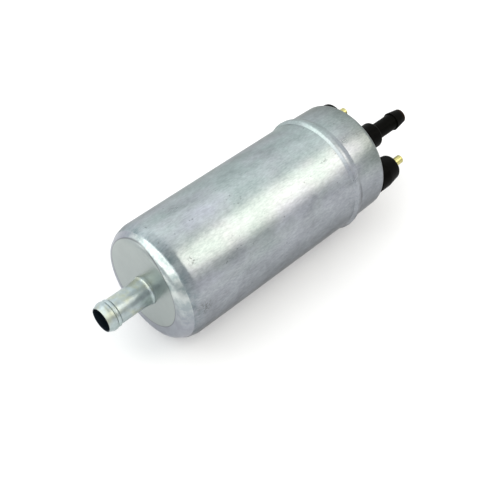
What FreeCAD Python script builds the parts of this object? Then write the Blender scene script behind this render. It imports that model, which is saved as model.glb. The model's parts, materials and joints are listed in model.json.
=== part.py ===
import FreeCAD, Part
import os
from math import cos, degrees, hypot, pi, radians, sin, sqrt, tan

# Inline electric fuel pump, in millimetres. The pump's axis is the X axis, fuel flows towards +X,
# +Z is up, and the origin is on the axis, halfway along the plain wall that the clamp band holds.

# Fits and clearances
close_fit = 0.02          # radial gap of a piece that is pressed or glued in
slip_fit = 0.2            # radial gap between the can's bore and what is slid into it
running_fit = 0.03        # radial gap of a bearing, and of a brush on the commutator
gear_side_gap = 0.02      # each side of a gear, along the axis
gear_tip_gap = 0.06       # between the two gears' teeth
brush_side_gap = 0.05     # each side of a brush in its holder
valve_gap = 0.03          # between a closed valve and its seat, so that the two only just touch

# Drawn can
can_radius = 26.0
can_wall = 1.5
face_inset = 6.0          # from the wall in to the edge of the flat end face
shoulder_round = 5.0      # round between the end face and the tapered shoulder
shoulder_turn = 75.0      # degrees that the round turns before the taper
plain_length = 86.5       # straight wall between the shoulder's crease and the bead
bead_length = 5.3
bead_height = 1.1
bead_tail = 0.15          # height that the bead still has at the crease behind it
crease_length = 0.5
neck_drop = 0.15          # radius lost from the plain wall to the start of the neck
neck_length = 16.0
neck_draw = 0.35          # radius lost from the plain wall to the rim
rim_round = 2.0
lip_reach = 2.4           # how far the rim is rolled in over the end cover

# Inlet stub, for a 12 mm hose
stub_length = 22.0
stub_radius = 5.7
stub_wall = 0.8
nose_edge = 0.45          # width of the bore's rim at the tip
nose_length = 2.2
hose_bead_height = 0.6
hose_bead_length = 1.4
hose_groove_height = 0.15
hose_ring_height = 0.4
hose_ring_length = 0.6
hose_ramp = 0.6           # length of each small slope round the groove and the ring
collar_height = 0.9
collar_length = 0.9
inner_flange_width = 3.3
inner_flange_length = 1.5

# Inlet strainer
strainer_gap = 0.6        # between the basket and the stub's bore
strainer_wall = 0.5
strainer_depth = 5.0      # reach of the basket back into the stub, from the end face
strainer_flange_inset = 1.5
strainer_slots = 6
strainer_slot_width = 1.2

# Pump stage: an inner gear in an outer gear with one more tooth
gear_teeth = 6            # teeth of the inner gear
gear_width = 8.0
gear_offset = 1.35        # distance between the two gears' axes
gear_offset_angle = 90.0  # direction of the outer gear's axis, from +Y towards +Z
lobe_circle_radius = 11.2
lobe_radius = 3.0
outer_gear_wall = 3.04
arcs_per_tooth = 8        # of the inner gear's outline
intake_plate_thickness = 6.5
intake_rim_wall = 4.0
delivery_plate_thickness = 8.5
delivery_hub_wall = 3.0
delivery_hub_length = 3.0
port_span = 130.0         # degrees of each kidney port
port_width = 3.8
stage_screws = 4
stage_screw_inset = 3.9   # from the stage's edge to the screws' circle
stage_screw_angle = 45.0  # first screw, from +Y
stage_screw_radius = 1.5
stage_screw_head_rim = 1.2
stage_screw_head_length = 2.0
stage_screw_slot = 0.6
stage_screw_depth = 5.0   # thread in the intake plate

# Relief valve in the intake plate
relief_inset = 7.1        # from the stage's edge to the relief valve's axis
relief_valve_radius = 2.5
relief_valve_length = 1.5
relief_seat_width = 0.9   # of the valve's cone outside the passage
relief_seat_depth = 2.0
relief_boss_wall = 1.5
relief_boss_inset = 1.3   # from the can's end wall to the boss
relief_plug_length = 1.8
relief_spring_wire = 0.6

# End cover's seal, of square section
seal_width = 2.1
groove_side_gap = 0.15
cover_seal_inset = 1.8    # from the bead's start back to the seal

# Motor
flux_wall = 1.9
magnet_thickness = 3.38
air_gap = 0.7
magnet_span = 130.0
magnet_angle = 90.0       # middle of the upper magnet, from +Y
magnet_overhang = 4.0     # beyond the core at each end
clip_wall = 0.7
clip_span = 44.0
clip_edge = 1.6           # height of the clip's folded edges
core_slots = 8
slot_mouth = 2.2
core_hub_wall = 5.5       # between the shaft and the slots' floor
core_tip_wall = 1.9       # between the slots' roof and the core's edge
core_tooth = 4.0
winding_gap = 0.3
end_turn_length = 4.5
end_turn_gap = 1.5        # between the end turns and the shaft
end_turn_chamfer = 1.5
shaft_radius = 2.5
shaft_flat = 2.0          # half the width over the two flats that drive the inner gear
shaft_nose = 4.0          # reach of the shaft into the intake plate
shaft_end_gap = 0.5       # between the shaft's rear end and the end cover
thrust_washer_length = 1.0
thrust_washer_width = 2.5
core_inset = 9.0          # from the delivery plate's rear face to the core
commutator_bar_height = 3.0
commutator_hub_wall = 3.0
commutator_bars = 8
commutator_bar_gap = 0.6
riser_height = 1.5
riser_length = 2.0
commutator_lead = 8.5     # from the brushes' middle to the commutator's front
commutator_tail = 5.5     # from the brushes' middle to the commutator's rear
bearing_wall = 2.5
bearing_length = 8.0

# Brushes
brush_width = 5.9         # along the pump's axis
brush_thickness = 4.9     # across it
brush_length = 9.0        # new brush
holder_wall = 0.4
holder_gap = 1.7          # between the commutator and the holders
holder_end_gap = 0.1      # between the holders and the skirt's bore
brush_inset = 7.25        # from the front of the end cover's skirt to the brushes' middle
brush_spring_gap = 0.45   # between the spring and its holder
brush_spring_wire = 0.45
brush_lead_radius = 0.45
arm_wall = 1.4            # end cover's moulding round each brush holder
holder_proud = 0.8        # reach of the holders out of the moulding round them

# End cover
skirt_length = 15.0       # from the skirt's front to the bead's start
skirt_wall = 2.0
seal_wall = 3.8           # wall where the seal's groove is
cover_plate_thickness = 11.5
cover_rise = 0.35         # height of the cover's face over the rim
cover_neck_gap = 0.1
hub_wall = 4.4
hub_overhang = 0.5        # hub ahead of the rear bearing
fuel_hole_radius = 1.3
fuel_holes = 2            # on the line across the terminals
chamber_inset = 1.0       # from the hub's edge to the chamber's
chamber_length = 3.5
chamber_wall = 2.5        # between the rear bearing and the chamber

# Terminals
terminal_inset = 7.85     # from the rim's edge to the studs' circle
terminal_angle = 13.0     # of the line through both studs, from +Y towards +Z
stud_radius = 2.0         # of the thread outside the insulator
stud_shoulder = 0.2       # height of the shank inside it over the thread
stud_gap = 0.1
stud_head_rim = 1.4
stud_head_length = 1.5
stud_exposed = 6.9
stud_tip_chamfer = 0.4
insulator_length = 13.8
insulator_wall = 5.1
insulator_taper = 1.2     # radius lost to the insulator's end
insulator_straight = 6.2
insulator_round = 1.8
insulator_spigot_wall = 1.6
insulator_spigot_length = 2.0
choke_radius = 2.5
choke_lead_radius = 0.5

# Outlet nozzle, for an 8 mm hose
nozzle_flange_height = 1.0
nozzle_flange_length = 2.0
nozzle_spigot_wall = 2.6
nozzle_spigot_length = 7.4
nozzle_body_wall = 1.7
nozzle_body_length = 21.2
nozzle_body_round = 1.6
nozzle_tube_wall = 1.55
nozzle_tube_length = 13.1
barb_height = 0.6
barb_length = 6.7
barb_tip_wall = 1.1
barb_tip_chamfer = 0.5
nozzle_bore = 2.3
valve_bore = 4.4
valve_chamber_length = 18.0
valve_seat_length = 3.0
valve_seat_wall = 1.8
valve_cone = 1.0          # depth and width of the seat's 45 degree cone
poppet_head_length = 1.5
poppet_stem_radius = 1.6
poppet_stem_length = 6.0
valve_spring_inset = 0.6  # from the poppet's edge to the spring's
valve_spring_wire = 0.7
nozzle_seal_width = 1.4
nozzle_seal_inset = 3.0   # from the cover's face to the seal

# Radii that follow from those sizes
turn = radians(shoulder_turn)
can_bore = can_radius - can_wall
face_radius = can_radius - face_inset
round_end_radius = face_radius + shoulder_round * sin(turn)
inner_round_radius = face_radius + (shoulder_round - can_wall) * sin(turn)
rim_radius = can_radius - neck_draw
lip_radius = rim_radius - lip_reach
stub_bore = stub_radius - stub_wall
hose_bead_radius = stub_radius + hose_bead_height
inner_flange_radius = stub_radius + inner_flange_width
strainer_radius = stub_bore - strainer_gap

stage_radius = can_bore - slip_fit
stage_screw_circle = stage_radius - stage_screw_inset
stage_screw_head_radius = stage_screw_radius + stage_screw_head_rim
relief_circle = stage_radius - relief_inset
relief_seat_radius = relief_valve_radius - relief_seat_width
relief_bore = relief_valve_radius + slip_fit
lobe_root_radius = lobe_circle_radius - lobe_radius + 2 * gear_offset + gear_tip_gap
outer_gear_radius = lobe_root_radius + outer_gear_wall

flux_bore = stage_radius - flux_wall
magnet_radius = flux_bore - close_fit
core_radius = magnet_radius - magnet_thickness - air_gap
slot_floor_radius = shaft_radius + core_hub_wall
slot_roof_radius = core_radius - core_tip_wall
bearing_radius = shaft_radius + bearing_wall
commutator_hub_radius = shaft_radius + commutator_hub_wall
commutator_radius = commutator_hub_radius + commutator_bar_height
brush_tip_radius = commutator_radius + running_fit + brush_length
skirt_bore = stage_radius - skirt_wall
seal_bore = stage_radius - seal_wall
holder_inner_radius = commutator_radius + holder_gap
holder_outer_radius = skirt_bore - holder_end_gap
hub_radius = bearing_radius + hub_wall
groove_floor = can_bore - seal_width - 2 * close_fit

terminal_circle = rim_radius - terminal_inset
stud_shank_radius = stud_radius + stud_shoulder
stud_hole_radius = stud_shank_radius + stud_gap
stud_head_radius = stud_radius + stud_head_rim
insulator_radius = stud_radius + insulator_wall
insulator_end_radius = insulator_radius - insulator_taper
insulator_spigot_radius = stud_radius + insulator_spigot_wall
nozzle_spigot_radius = valve_bore + nozzle_spigot_wall
nozzle_body_radius = valve_bore + nozzle_body_wall
nozzle_tube_radius = nozzle_bore + nozzle_tube_wall
barb_tip_radius = nozzle_bore + barb_tip_wall
valve_seat_bore = valve_bore - valve_seat_wall
poppet_radius = valve_seat_bore + valve_cone
valve_spring_radius = poppet_radius - valve_spring_inset

# Stations along the axis, from the inlet end to the outlet end
plain_start = -plain_length / 2
plain_end = plain_length / 2
shoulder_length = shoulder_round * (1 - cos(turn)) + (can_radius - round_end_radius) * tan(turn)
face_x = plain_start - shoulder_length
tip_x = face_x - stub_length
end_wall_x = face_x + can_wall
bead_end = plain_end + bead_length
neck_start = bead_end + crease_length
rim_x = neck_start + neck_length
lip_x = rim_x - can_wall
cover_face_x = rim_x + cover_rise

inner_round_x = face_x + shoulder_round - (shoulder_round - can_wall) * cos(turn)
stage_front = inner_round_x + (can_bore - inner_round_radius) * tan(turn)
gear_front = stage_front + intake_plate_thickness
gear_rear = gear_front + gear_width + 2 * gear_side_gap
stage_rear = gear_rear + delivery_plate_thickness
delivery_hub_x = stage_rear + delivery_hub_length

skirt_front = plain_end - skirt_length
brush_x = skirt_front + brush_inset
commutator_front = brush_x - commutator_lead
commutator_rear = brush_x + commutator_tail
core_front = stage_rear + core_inset
core_rear = commutator_front - end_turn_length - thrust_washer_length
plate_front = lip_x - cover_plate_thickness
rear_bearing_front = plate_front - bearing_length
shaft_front = gear_front - shaft_nose
shaft_rear = plate_front - shaft_end_gap
insulator_end = cover_face_x + insulator_length
stud_tip = insulator_end + stud_exposed
nozzle_tip = cover_face_x + nozzle_body_length + nozzle_tube_length + barb_length
valve_seat_front = cover_face_x - nozzle_spigot_length
valve_seat_rear = valve_seat_front + valve_seat_length
valve_chamber_end = valve_seat_front + valve_chamber_length

holder_depth = brush_width + 2 * brush_side_gap + 2 * holder_wall
holder_breadth = brush_thickness + 2 * brush_side_gap + 2 * holder_wall
groove_width = seal_width + 2 * groove_side_gap
cover_seal_x = plain_end - cover_seal_inset
outer_teeth = gear_teeth + 1
gear_y = gear_offset * cos(radians(gear_offset_angle))
gear_z = gear_offset * sin(radians(gear_offset_angle))
relief_angle = gear_offset_angle + 180
relief_seat_x = gear_front - relief_seat_depth
relief_edge_x = relief_seat_x - valve_gap * sqrt(2)
relief_shoulder_x = relief_edge_x - (relief_valve_radius - relief_seat_radius)
relief_back_x = relief_shoulder_x - relief_valve_length
relief_boss_front = end_wall_x + relief_boss_inset

X_AXIS = FreeCAD.Vector(1, 0, 0)
ORIGIN = FreeCAD.Vector(0, 0, 0)


def around(radius, angle, x=0.0):
    """Point at a radius and an angle in degrees from +Y towards +Z, at a station along the axis."""
    return FreeCAD.Vector(x, radius * cos(radians(angle)), radius * sin(radians(angle)))


def outline(path):
    """Closed wire in the XY plane. A pair is a straight run to (x, y), a four an arc through a point."""
    edges = []
    start = FreeCAD.Vector(path[0][0], path[0][1], 0)
    for step in path[1:] + [path[0]]:
        end = FreeCAD.Vector(step[-2], step[-1], 0)
        if len(step) == 4:
            middle = FreeCAD.Vector(step[0], step[1], 0)
            edges.append(Part.Arc(start, middle, end).toShape())
        elif end.distanceToPoint(start) > 1e-6:
            edges.append(Part.LineSegment(start, end).toShape())
        start = end
    return Part.Wire(edges)


def turned(path, span=360.0, start_angle=0.0):
    """Solid that a profile of (x, radius) sweeps about the pump's axis."""
    solid = Part.Face(outline(path)).revolve(ORIGIN, X_AXIS, span)
    solid.rotate(ORIGIN, X_AXIS, start_angle)
    return solid


def tube(x0, x1, inner, outer, span=360.0, middle_angle=0.0):
    """Ring or sector of a ring about the axis, centred on an angle."""
    path = [(x0, inner), (x0, outer), (x1, outer), (x1, inner)]
    start_angle = middle_angle - span / 2
    return turned(path, span, start_angle)


def rod(x0, x1, radius, circle=0.0, angle=0.0):
    """Cylinder parallel to the axis, on a circle round it."""
    return Part.makeCylinder(radius, x1 - x0, around(circle, angle, x0), X_AXIS)


def moved_to(solid, circle, angle):
    """Copy of a turned piece, moved from the axis to a place on a circle."""
    piece = solid.copy()
    piece.translate(around(circle, angle))
    return piece


def block(x0, x1, r0, r1, breadth, angle):
    """Box that reaches out from the axis at an angle."""
    piece = Part.makeBox(x1 - x0, r1 - r0, breadth, FreeCAD.Vector(x0, r0, -breadth / 2))
    piece.rotate(ORIGIN, X_AXIS, angle)
    return piece


def prism(points, x0, x1, angle=0.0):
    """Prism along the axis of a polygon of (radius, width) points."""
    corners = [FreeCAD.Vector(x0, r, w) for r, w in points]
    piece = Part.Face(Part.makePolygon(corners + corners[:1])).extrude(X_AXIS * (x1 - x0))
    piece.rotate(ORIGIN, X_AXIS, angle)
    return piece


def spread(count, first=0.0):
    """Angles of a number of equal steps round the axis."""
    return [first + 360.0 * step / count for step in range(count)]


def joined(pieces):
    """One solid from overlapping pieces."""
    return pieces[0].multiFuse(pieces[1:]).removeSplitter()


# Can and inlet

def can_outside():
    """Can's outline from the end face to the rim: round, taper, plain wall, bead, neck and rolled edge."""
    round_x = face_x + shoulder_round
    round_middle = (round_x - shoulder_round * cos(turn / 2), face_radius + shoulder_round * sin(turn / 2))
    round_end = (round_x - shoulder_round * cos(turn), round_end_radius)
    bead_middle = plain_end + bead_length / 2
    edge_middle = rim_round * (1 - cos(pi / 4))
    return [
        (face_x, 0),
        (face_x, face_radius),
        round_middle + round_end,
        (plain_start, can_radius),
        (plain_end, can_radius),
        (bead_middle, can_radius + bead_height, bead_end, can_radius + bead_tail),
        (neck_start, can_radius - neck_drop),
        (rim_x - rim_round, rim_radius),
        (rim_x - edge_middle, rim_radius - edge_middle),
        (rim_x, rim_radius - rim_round),
        (rim_x, 0),
    ]


def can_inside():
    """Can's bore, in straight runs: its rounds are hidden, and so is the bead's hollow."""
    return [
        (end_wall_x, 0),
        (end_wall_x, face_radius),
        (inner_round_x, inner_round_radius),
        (stage_front, can_bore),
        (plain_end, can_bore),
        (neck_start, can_bore - neck_drop),
        (lip_x, rim_radius - can_wall),
        (lip_x, lip_radius),
        (rim_x + can_wall, lip_radius),
        (rim_x + can_wall, 0),
    ]


def housing_can():
    """Drawn can, open at the rear, where its rim is rolled in over the end cover."""
    stub_hole = rod(face_x - can_wall, end_wall_x + can_wall, stub_radius + close_fit)
    return turned(can_outside()).cut([turned(can_inside()), stub_hole])


def inlet_fitting():
    """Stub with a hose bead, a ring behind it and a collar, riveted into the end face by its flange."""
    bead_x = tip_x + nose_length
    groove_x = bead_x + hose_bead_length + hose_ramp
    ring_x = groove_x + hose_ramp
    tube_x = ring_x + hose_ring_length + hose_ramp
    flange_x = end_wall_x + inner_flange_length
    return turned([
        (tip_x, stub_bore),
        (tip_x, stub_bore + nose_edge),
        (bead_x, hose_bead_radius),
        (bead_x + hose_bead_length, hose_bead_radius),
        (groove_x, stub_radius + hose_groove_height),
        (ring_x, stub_radius + hose_ring_height),
        (ring_x + hose_ring_length, stub_radius + hose_ring_height),
        (tube_x, stub_radius),
        (face_x - collar_length, stub_radius),
        (face_x - collar_length, stub_radius + collar_height),
        (face_x, stub_radius + collar_height),
        (face_x, stub_radius),
        (end_wall_x, stub_radius),
        (end_wall_x, inner_flange_radius),
        (flange_x, inner_flange_radius),
        (flange_x, stub_bore),
    ])


def inlet_strainer():
    """Basket with slotted walls that stands in the stub's bore, with its flange on the fitting."""
    flange_x = end_wall_x + inner_flange_length
    floor_x = face_x - strainer_depth
    inner = strainer_radius - strainer_wall
    flange_radius = inner_flange_radius - strainer_flange_inset
    basket = turned([
        (floor_x, 0),
        (floor_x, strainer_radius),
        (flange_x, strainer_radius),
        (flange_x, flange_radius),
        (flange_x + strainer_wall, flange_radius),
        (flange_x + strainer_wall, inner),
        (floor_x + strainer_wall, inner),
        (floor_x + strainer_wall, 0),
    ])
    for angle in spread(strainer_slots):
        slot = block(floor_x + 2 * strainer_wall, flange_x - strainer_wall, inner / 2,
                     strainer_radius + strainer_wall, strainer_slot_width, angle)
        basket = basket.cut(slot)
    return basket


# Pump stage

def kidney_port(x0, x1, side):
    """Curved port through a plate, on one side of the line through the two gear axes."""
    middle = gear_offset_angle + 90 * side
    return tube(x0, x1, lobe_circle_radius - port_width, lobe_circle_radius, port_span, middle)


def screw_holes(x0, x1, gap):
    """Holes for the stage's screws, or their thread where the gap is none."""
    return [rod(x0, x1, stage_screw_radius + gap, stage_screw_circle, angle)
            for angle in spread(stage_screws, stage_screw_angle)]


def intake_plate():
    """Plate with a rim that stands on the can's end wall, an intake port and the relief valve's bore."""
    rim_outer = face_radius - slip_fit
    boss_radius = relief_bore + relief_boss_wall
    plate = joined([
        tube(stage_front, gear_front, 0, stage_radius),
        tube(end_wall_x, stage_front + can_wall, rim_outer - intake_rim_wall, rim_outer),
        rod(relief_boss_front, stage_front + can_wall, boss_radius, relief_circle, relief_angle),
    ])
    cuts = [
        kidney_port(stage_front - can_wall, gear_front + can_wall, 1),
        rod(shaft_front - slip_fit, gear_front + can_wall, shaft_radius + slip_fit),
        rod(relief_boss_front - can_wall, relief_seat_x, relief_bore, relief_circle, relief_angle),
        rod(relief_seat_x - can_wall, gear_front + can_wall, relief_seat_radius, relief_circle, relief_angle),
    ]
    cuts += screw_holes(gear_front - stage_screw_depth, gear_front + can_wall, close_fit)
    return plate.cut(cuts)


def gear_housing():
    """Ring whose off-centre pocket holds the outer gear."""
    ring = tube(gear_front, gear_rear, 0, stage_radius)
    pocket = rod(gear_front - can_wall, gear_rear + can_wall, outer_gear_radius + running_fit,
                 gear_offset, gear_offset_angle)
    relief = rod(gear_front - can_wall, gear_rear + can_wall, relief_seat_radius, relief_circle, relief_angle)
    return ring.cut([pocket, relief] + screw_holes(gear_front - can_wall, gear_rear + can_wall, slip_fit))


def inner_gear_wire(x):
    """Inner gear's outline in arcs: a lobe centre's path, moved inwards by the lobe and the tip gap."""
    points = []
    count = 2 * gear_teeth * arcs_per_tooth
    inset = lobe_radius + gear_tip_gap
    for step in range(count):
        angle = 2 * pi * step / count
        centre_y = lobe_circle_radius * cos(angle) - gear_offset * cos(outer_teeth * angle)
        centre_z = lobe_circle_radius * sin(angle) - gear_offset * sin(outer_teeth * angle)
        run_y = -lobe_circle_radius * sin(angle) + gear_offset * outer_teeth * sin(outer_teeth * angle)
        run_z = lobe_circle_radius * cos(angle) - gear_offset * outer_teeth * cos(outer_teeth * angle)
        inwards = inset / hypot(run_y, run_z)
        points.append(FreeCAD.Vector(x, centre_y - inwards * run_z, centre_z + inwards * run_y))
    arcs = [Part.Arc(points[i - 2], points[i - 1], points[i]) for i in range(0, count, 2)]
    return Part.Wire([arc.toShape() for arc in arcs])


def double_d(x0, x1, radius, flat):
    """Round bar with two flats."""
    sides = Part.makeBox(x1 - x0, 2 * flat, 2 * radius, FreeCAD.Vector(x0, -flat, -radius))
    return rod(x0, x1, radius).common(sides)


def inner_gear():
    """Gear that the shaft's flats drive."""
    x0 = gear_front + gear_side_gap
    x1 = x0 + gear_width
    gear = Part.Face(inner_gear_wire(x0)).extrude(X_AXIS * gear_width)
    bore = double_d(x0 - can_wall, x1 + can_wall, shaft_radius + close_fit, shaft_flat + close_fit)
    return gear.cut(bore)


def outer_gear():
    """Ring with one more tooth than the inner gear: round lobes that stand in from its root circle."""
    x0 = gear_front + gear_side_gap
    x1 = x0 + gear_width
    disc = tube(x0, x1, 0, outer_gear_radius)
    ring = tube(x0, x1, lobe_root_radius, outer_gear_radius)
    first = (gear_offset_angle - 180) / outer_teeth
    lobes = [rod(x0, x1, lobe_radius, lobe_circle_radius, angle) for angle in spread(outer_teeth, first)]
    gear = joined([ring] + lobes).common(disc)
    gear.translate(FreeCAD.Vector(0, gear_y, gear_z))
    return gear


def delivery_plate():
    """Plate that closes the gears' pocket, with the delivery port and the front bearing's seat."""
    body = joined([
        tube(gear_rear, stage_rear, 0, stage_radius),
        tube(gear_rear, delivery_hub_x, 0, bearing_radius + delivery_hub_wall),
    ])
    cuts = [
        kidney_port(gear_rear - can_wall, stage_rear + can_wall, -1),
        rod(gear_rear - can_wall, delivery_hub_x + can_wall, shaft_radius + slip_fit),
        rod(delivery_hub_x - bearing_length, delivery_hub_x + can_wall, bearing_radius + close_fit),
        rod(gear_rear - can_wall, stage_rear + can_wall, relief_seat_radius, relief_circle, relief_angle),
    ]
    head_depth = stage_screw_head_length
    for angle in spread(stage_screws, stage_screw_angle):
        cuts.append(rod(stage_rear - head_depth, stage_rear + can_wall,
                        stage_screw_head_radius + slip_fit, stage_screw_circle, angle))
    cuts += screw_holes(gear_rear - can_wall, stage_rear + can_wall, slip_fit)
    return body.cut(cuts)


def stage_screw_group():
    """Four cheese-head screws that hold the stage together."""
    head_x = stage_rear - stage_screw_head_length
    shank_x = gear_front - stage_screw_depth
    slot_depth = stage_screw_head_length / 2
    shank = rod(shank_x, head_x, stage_screw_radius)
    head = rod(head_x, stage_rear, stage_screw_head_radius)
    slot = block(stage_rear - slot_depth, stage_rear, -stage_screw_head_radius, stage_screw_head_radius,
                 stage_screw_slot, 0)
    screw = joined([shank, head]).cut(slot)
    return Part.makeCompound([moved_to(screw, stage_screw_circle, angle)
                              for angle in spread(stage_screws, stage_screw_angle)])


def relief_valve():
    """Plunger whose cone closes the relief passage."""
    nose = relief_seat_radius / 2
    plunger = turned([
        (relief_back_x, 0),
        (relief_back_x, relief_valve_radius),
        (relief_shoulder_x, relief_valve_radius),
        (relief_edge_x + nose, relief_seat_radius - nose),
        (relief_edge_x + nose, 0),
    ])
    return moved_to(plunger, relief_circle, relief_angle)


def relief_spring():
    """Relief valve's spring, as a sleeve of its outer and inner size."""
    sleeve = tube(relief_boss_front + relief_plug_length, relief_back_x,
                  relief_valve_radius - relief_spring_wire, relief_valve_radius)
    return moved_to(sleeve, relief_circle, relief_angle)


def relief_plug():
    """Plug that sets the relief spring's length, with a hole for the fuel it lets by."""
    plug = tube(relief_boss_front, relief_boss_front + relief_plug_length,
                relief_seat_radius / 2, relief_bore - close_fit)
    return moved_to(plug, relief_circle, relief_angle)


def bearing(x0):
    """Plain bearing."""
    return tube(x0, x0 + bearing_length, shaft_radius + running_fit, bearing_radius)


# Motor

def flux_tube():
    """Steel tube between the pump stage and the end cover, which carries the magnets."""
    return tube(stage_rear, skirt_front, flux_bore, stage_radius)


def magnet(angle):
    """Curved magnet on the flux tube's wall."""
    return tube(core_front - magnet_overhang, core_rear + magnet_overhang,
                magnet_radius - magnet_thickness, magnet_radius, magnet_span, angle)


def magnet_clip(angle):
    """Sprung channel between the magnets' edges, folded inwards along both sides."""
    x0 = core_front - magnet_overhang
    x1 = core_rear + magnet_overhang
    edge_span = degrees(clip_wall / magnet_radius)
    inner = magnet_radius - clip_wall
    pieces = [tube(x0, x1, inner, magnet_radius, clip_span, angle)]
    for side in (-1, 1):
        edge_angle = angle + side * (clip_span - edge_span) / 2
        pieces.append(tube(x0, x1, inner - clip_edge, magnet_radius, edge_span, edge_angle))
    return joined(pieces)


def armature_shaft():
    """Shaft with two flats at its front end for the inner gear."""
    flats_end = gear_rear
    return joined([
        double_d(shaft_front, flats_end, shaft_radius, shaft_flat),
        rod(flats_end, shaft_rear, shaft_radius),
    ])


def slot_half_width(radius):
    """Half a winding slot's width where it lies between two teeth of even thickness."""
    return pi * radius / core_slots - core_tooth / 2


def slot_points(inset):
    """Corners of a winding slot in the core, made smaller by an inset."""
    floor = slot_half_width(slot_floor_radius) - inset
    roof = slot_half_width(slot_roof_radius) - inset
    return [
        (slot_floor_radius + inset, -floor),
        (slot_roof_radius - inset, -roof),
        (slot_roof_radius - inset, roof),
        (slot_floor_radius + inset, floor),
    ]


def armature_core():
    """Laminated core with its winding slots."""
    core = tube(core_front, core_rear, shaft_radius + close_fit, core_radius)
    cuts = []
    for angle in spread(core_slots):
        cuts.append(prism(slot_points(0), core_front - can_wall, core_rear + can_wall, angle))
        cuts.append(block(core_front - can_wall, core_rear + can_wall, slot_roof_radius - can_wall,
                          core_radius + can_wall, slot_mouth, angle))
    return core.cut(cuts)


def armature_winding():
    """Copper in the core's slots and the end turns at both ends, as one solid."""
    front = core_front - end_turn_length
    rear = core_rear + end_turn_length
    bore = shaft_radius + end_turn_gap
    roof = slot_roof_radius - winding_gap
    profile = [
        (front, bore),
        (front, roof - end_turn_chamfer),
        (front + end_turn_chamfer, roof),
        (core_front - winding_gap, roof),
        (core_front - winding_gap, bore),
    ]
    mirrored = [(front + rear - x, r) for x, r in profile]
    bars = [prism(slot_points(winding_gap), front + end_turn_chamfer, rear - end_turn_chamfer, angle)
            for angle in spread(core_slots)]
    return joined([turned(profile), turned(mirrored)] + bars)


def commutator_hub():
    """Moulding that carries the commutator's bars."""
    return tube(commutator_front, commutator_rear, shaft_radius + close_fit, commutator_hub_radius)


def commutator_segments():
    """Copper bars with risers, each a solid of its own."""
    riser_radius = commutator_radius + riser_height
    path = [
        (commutator_front, commutator_hub_radius + close_fit),
        (commutator_front, riser_radius),
        (commutator_front + riser_length, riser_radius),
        (commutator_front + riser_length, commutator_radius),
        (commutator_rear, commutator_radius),
        (commutator_rear, commutator_hub_radius + close_fit),
    ]
    span = 360.0 / commutator_bars - degrees(commutator_bar_gap / commutator_radius)
    return Part.makeCompound([turned(path, span, angle - span / 2) for angle in spread(commutator_bars)])


def thrust_washer():
    """Washer between the front bearing's hub and the armature."""
    x0 = delivery_hub_x + running_fit
    return tube(x0, x0 + thrust_washer_length, shaft_radius + close_fit, shaft_radius + thrust_washer_width)


# Brushes, at the angles of the two terminals

def brush_holder(angle):
    """Sheet brass tube of square section with a closed outer end."""
    shell = block(brush_x - holder_depth / 2, brush_x + holder_depth / 2,
                  holder_inner_radius, holder_outer_radius, holder_breadth, angle)
    depth = holder_depth - 2 * holder_wall
    hollow = block(brush_x - depth / 2, brush_x + depth / 2, holder_inner_radius - can_wall,
                   holder_outer_radius - holder_wall, holder_breadth - 2 * holder_wall, angle)
    return shell.cut(hollow)


def brush(angle):
    """Carbon brush with a hollow end that follows the commutator."""
    body = block(brush_x - brush_width / 2, brush_x + brush_width / 2,
                 commutator_radius / 2, brush_tip_radius, brush_thickness, angle)
    return body.cut(rod(brush_x - brush_width, brush_x + brush_width, commutator_radius + running_fit))


def radial_rod(r0, r1, radius, angle):
    """Cylinder that reaches out from the axis at the brushes' station."""
    return Part.makeCylinder(radius, r1 - r0, around(r0, angle, brush_x), around(1, angle))


def brush_spring(angle):
    """Brush's spring, as a sleeve of its outer and inner size."""
    r1 = holder_outer_radius - holder_wall
    radius = brush_thickness / 2 - brush_spring_gap
    outer = radial_rod(brush_tip_radius, r1, radius, angle)
    return outer.cut(radial_rod(brush_tip_radius, r1, radius - brush_spring_wire, angle))


def brush_lead(angle):
    """Flexible lead inside the brush's spring."""
    return radial_rod(brush_tip_radius, holder_outer_radius - holder_wall, brush_lead_radius, angle)


def choke(angle):
    """Interference choke between a stud's head and its brush holder: a wound rod with a lead."""
    x0 = brush_x + holder_depth / 2
    body_x = x0 + arm_wall + stud_gap
    x1 = plate_front - stud_head_length
    body = turned([
        (x0, 0),
        (x0, choke_lead_radius),
        (body_x, choke_lead_radius),
        (body_x, choke_radius),
        (x1, choke_radius),
        (x1, 0),
    ])
    return moved_to(body, terminal_circle, angle)


# End cover, terminals and outlet

def end_cover_seal():
    """Seal between the end cover and the can."""
    return tube(cover_seal_x - seal_width / 2, cover_seal_x + seal_width / 2,
                groove_floor + close_fit, can_bore - close_fit)


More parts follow.
